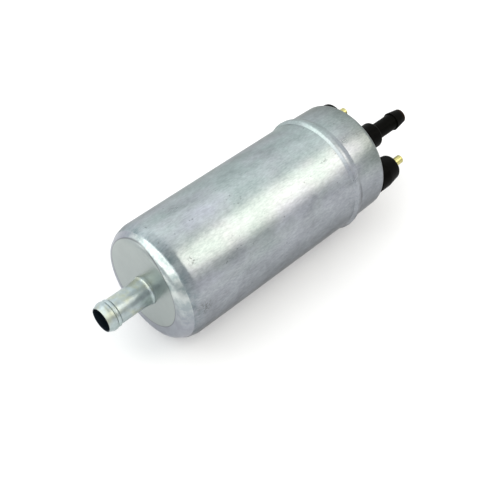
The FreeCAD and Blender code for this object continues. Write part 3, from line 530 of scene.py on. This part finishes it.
def make_can():
    """Flat end face, round, taper, plain wall, rolled bead, drawn-in neck and rolled rim."""
    hole = stub_radius + close_fit
    inside = can_radius - sheet
    lip_reach = 2.75
    lip = can_radius - lip_reach
    shoulder_edge, shoulder_crease = (face, 22.475), (-47.2, 25.02)
    wall_start, wall_end = -40.0, 20.0
    # The first and last corner of a stretch only give it its direction
    shoulder = rounded([
        (face, 17.0, 0, END_FACE), (*shoulder_edge, 3.5, END_FACE), (*shoulder_crease, 0, OUTSIDE),
    ], 14)
    taper = rounded([
        (*shoulder_edge, 0, OUTSIDE), (*shoulder_crease, 2.6, OUTSIDE), (-43.6, 25.94, 6.0, OUTSIDE),
        (wall_start, can_radius, 0, OUTSIDE),
    ], 8)
    bead_and_neck = rounded([
        (wall_end, can_radius, 0, OUTSIDE), (43.9, can_radius, 0.3, OUTSIDE), (45.2, 27.125, 0.9, OUTSIDE),
        (46.75, 26.99, 1.6, OUTSIDE), (49.35, 25.8, 0.5, OUTSIDE), (rim, 25.45, 2.2, OUTSIDE),
        (rim, lip, 0.35, OUTSIDE), (rim - sheet, lip, 0.2, OUTSIDE), (rim - sheet, 23.8, 0, OUTSIDE),
    ], 10)
    inner = [(49.05, 24.35), (43.25, inside), (-43.2, inside), (-45.5, 23.5), (face + sheet, 20.0),
             (face + sheet, hole)]
    points = [(face, r, END_FACE) for r in (hole, 12.0, 17.0)]
    points += shoulder[1:-1] + taper[1:-1]
    # Rings along the plain wall keep its shading even
    points += [(x, can_radius, OUTSIDE) for x in (-wall_end, 0.0, wall_end)]
    points += bead_and_neck[1:] + [(x, r, OUTSIDE) for x, r in inner]
    lathe("can_skin", points, "housing_can", [can_wall, can_face], 256)


def make_stub():
    """Nose, hose bead, groove, ring, tube, flared collar and the flange behind the end face."""
    bore, flange_radius = 4.9, 9.0
    flare_start, flare_length, flare_rise = -57.0, 4.7, 0.36
    corners = [(stub_tip, bore, 0.12, BORE), (stub_tip, 5.35, 0.15, OUTSIDE)]
    x = stub_tip
    # Length of each stretch, and its end's height over the tube and fillet
    for length, height, fillet in ((2.2, 0.6, 0.5), (1.4, 0.6, 0.5), (0.6, 0.15, 0.3),
                                   (0.6, 0.4, 0.2), (0.6, 0.4, 0.2), (0.6, 0.0, 0.3)):
        x += length
        corners.append((x, stub_radius + height, fillet, OUTSIDE))
    # The flare rises with the square of the way from its start
    for way in (0.0, 1.0, 2.0, 3.0, 4.0, flare_length):
        rise = flare_rise * (way / flare_length) ** 2
        corners.append((flare_start + way, stub_radius + rise, 0, OUTSIDE))
    corners += [
        (-51.88, 6.44, 0.1, OUTSIDE), (face, 6.5, 0, OUTSIDE),
        (face, stub_radius, 0, OUTSIDE), (face + sheet, stub_radius, 0, OUTSIDE),
        (face + sheet, flange_radius, 0.2, OUTSIDE), (flange_end, flange_radius, 0.2, OUTSIDE),
        (flange_end, bore, 0.2, BORE),
    ]
    lathe("inlet_stub", rounded(corners), "inlet_fitting", [stub_steel, bore_finish()], 128)


def make_insulator(letter, degrees, body_radius, body_end, body_round, tip_round, swell):
    """Spigot in the end cover and head round a stud. The head grows by the swell on its outer side."""
    hole, spigot_radius, head_from = 2.3, 3.6, 4.0
    outward = radians(degrees)
    corners = [
        (insulator_root, hole, 0, OUTSIDE), (insulator_root, spigot_radius, 0.2, OUTSIDE),
        (cover_end, spigot_radius, 0, OUTSIDE), (cover_end, body_radius, 0.3, OUTSIDE),
        (body_end, body_radius, body_round, OUTSIDE), (insulator_tip, 5.4, tip_round, OUTSIDE),
        (insulator_tip, hole, 0.2, OUTSIDE),
    ]

    def fuller(angle, r, finish):
        return swell * (1 + cos(angle - outward)) / 2 if r > head_from else 0.0

    centre = (stud_circle_radius * cos(outward), stud_circle_radius * sin(outward))
    lathe("insulator_" + letter, rounded(corners), "terminal_insulator_" + letter,
          [black_plastic], 96, centre, fuller)


def make_nozzle():
    """Flange with a seal groove, thick body, slim tube and barb, with a mould line on each side."""
    seat_radius, root_radius, groove_radius, body_radius, bore = 4.4, 7.0, 5.6, 6.1, 2.3
    seal_start, seal_end = ends("nozzle_seal")
    groove_start, groove_end = seal_start - close_fit, seal_end + close_fit
    mould_line = 0.07
    corners = [
        (nozzle_root, seat_radius, 0, BORE), (nozzle_root, root_radius, 0, BORE),
        (groove_start, root_radius, 0, BORE), (groove_start, groove_radius, 0, BORE),
        (groove_end, groove_radius, 0, BORE), (groove_end, root_radius, 0, BORE),
        (cover_end, root_radius, 0, BORE), (cover_end, 8.0, 0.25, OUTSIDE), (67.4, 8.0, 0.5, OUTSIDE),
        (69.4, body_radius, 0.9, OUTSIDE), (86.6, body_radius, 1.5, OUTSIDE),
        (87.4, tube_radius, 0.5, OUTSIDE), (99.7, tube_radius, 0.15, OUTSIDE),
        (99.7, 4.45, 0.12, OUTSIDE), (nozzle_tip, 3.4, 0.5, OUTSIDE),
        (nozzle_tip, bore, 0.2, BORE), (valve_spring_fixed, bore, 0, BORE),
        (valve_spring_fixed, seat_radius, 0, BORE),
    ]

    def mould_lines(angle, r, finish):
        return mould_line if finish == OUTSIDE and abs(sin(angle)) < 1e-9 else 0.0

    lathe("nozzle", rounded(corners), "outlet_nozzle", [nozzle_plastic, black_plastic], 96,
          proud=mould_lines)


def make_springs():
    """Springs and brush leads, each between the housing and the piece that slides."""
    coil("valve_coil", "valve_spring", "spring_steel", (valve_spring_fixed, 0, 0),
         (valve_spring_free, 0, 0), outer=3.0, wire=0.7, turns=6)
    plug_end, relief_z = ends("relief_plug")[1], -17.2
    coil("relief_coil", "relief_spring", "spring_steel", (plug_end, 0, relief_z),
         (-41.0, 0, relief_z), outer=2.5, wire=0.6, turns=5)
    brush_x, cover_side, brush_side = 35.5, 21.8, 17.53
    for letter in "ab":
        joint = "brush_" + letter + "_slide"
        outwards = Vector(joints[joint]["axis"])
        fixed, free = [Vector((brush_x, 0, 0)) + outwards * r for r in (cover_side, brush_side)]
        coil("brush_coil_" + letter, "brush_spring_" + letter, "spring_steel", fixed, free,
             outer=2.0, wire=0.45, turns=4)
        coil("brush_wire_" + letter, "brush_lead_" + letter, "copper", fixed, free,
             outer=0.85, wire=0.8, turns=2)


# Stage and light, in metres

def make_floor():
    """Pale paper just below the bead, a little brighter to the camera and in reflections."""
    reach, level = 12.0, -0.0272
    corners = [(-reach, -reach, level), (reach, -reach, level),
               (reach, reach, level), (-reach, reach, level)]
    mesh = bpy.data.meshes.new("floor")
    mesh.from_pydata(corners, [], [(0, 1, 2, 3)])
    floor = bpy.data.objects.new("floor", mesh)
    bpy.context.scene.collection.objects.link(floor)
    paper = Finish("floor_paper")
    paper.set(Base_Color=paper.ramp(paper.noise(30), (0.3, 0.795), (0.7, 0.805)), Roughness=0.9)
    rays = paper.node("ShaderNodeLightPath").outputs
    seen = paper.maths("MAXIMUM", rays["Is Camera Ray"], rays["Is Glossy Ray"])
    seen = paper.maths("MAXIMUM", seen, rays["Is Transmission Ray"])
    paper.set(Emission_Color=tone(1.0), Emission_Strength=paper.maths("MULTIPLY", seen, 0.16))
    mesh.materials.append(paper.material)


def make_world():
    """Studio: a pale horizon under a dimmer ceiling, brighter towards +Y, behind the pump."""
    world = bpy.data.worlds.new("studio")
    bpy.context.scene.world = world
    world.use_nodes = True
    nodes, links = world.node_tree.nodes, world.node_tree.links
    nodes.clear()
    background = nodes.new("ShaderNodeBackground")
    output = nodes.new("ShaderNodeOutputWorld")
    direction = nodes.new("ShaderNodeTexCoord")
    split = nodes.new("ShaderNodeSeparateXYZ")
    height = nodes.new("ShaderNodeValToRGB")
    set_stops(height, ((0.0, (1.0, 1.0, 1.03)), (0.14, (0.98, 0.99, 1.02)),
                       (0.26, (0.74, 0.76, 0.78)), (1.0, (0.66, 0.69, 0.70))))
    side = nodes.new("ShaderNodeMapRange")
    for key, number in (("From Min", -1.0), ("To Min", 0.74), ("To Max", 1.42)):
        side.inputs[key].default_value = number
    links.new(direction.outputs["Generated"], split.inputs[0])
    links.new(split.outputs["Z"], height.inputs[0])
    links.new(split.outputs["Y"], side.inputs["Value"])
    links.new(side.outputs[0], background.inputs["Strength"])
    links.new(height.outputs[0], background.inputs["Color"])
    links.new(background.outputs[0], output.inputs["Surface"])


def make_lamp(name, direction, distance, width, height, radiance, colour=(1.0, 1.0, 1.0)):
    """Soft rectangular lamp that faces the middle of the can."""
    data = bpy.data.lights.new(name, "AREA")
    data.shape = "RECTANGLE"
    data.size = width
    data.size_y = height
    data.color = colour
    data.energy = 4 * width * height * radiance
    light = bpy.data.objects.new(name, data)
    away = Vector(direction).normalized()
    light.location = away * distance
    light.rotation_mode = "QUATERNION"
    light.rotation_quaternion = away.to_track_quat("Z", "Y")
    light.visible_camera = False
    bpy.context.scene.collection.objects.link(light)


make_camera()
make_can()
make_stub()
make_insulator("a", first_terminal, body_radius=6.8, body_end=78.3, body_round=0.9, tip_round=0.6,
               swell=0.9)
make_insulator("b", first_terminal + 180, body_radius=6.7, body_end=71.6, body_round=2.0, tip_round=1.7,
               swell=0.5)
make_nozzle()
make_springs()
make_floor()
make_world()
# Direction from the can's middle, distance, width, height, radiance and colour
make_lamp("key", (0.50, -0.50, 0.70), 0.9, 0.55, 0.6, 2.08, (1.0, 0.92, 0.82))
make_lamp("strip", (-0.65, 0.0, 0.75), 0.9, 1.6, 0.5, 1.4, (1.0, 0.99, 0.95))
make_lamp("overhead", (0.48, 0.28, 0.83), 1.0, 0.9, 0.6, 0.5)
make_lamp("far", (-0.15, 0.77, 0.62), 1.0, 1.1, 0.5, 0.45)
make_lamp("top", (0.0, 0.25, 0.97), 1.0, 0.45, 0.45, 0.35)
make_lamp("rear", (0.93, 0.25, 0.17), 1.0, 0.9, 0.35, 0.25)
bpy.context.scene.view_settings.view_transform = "Standard"
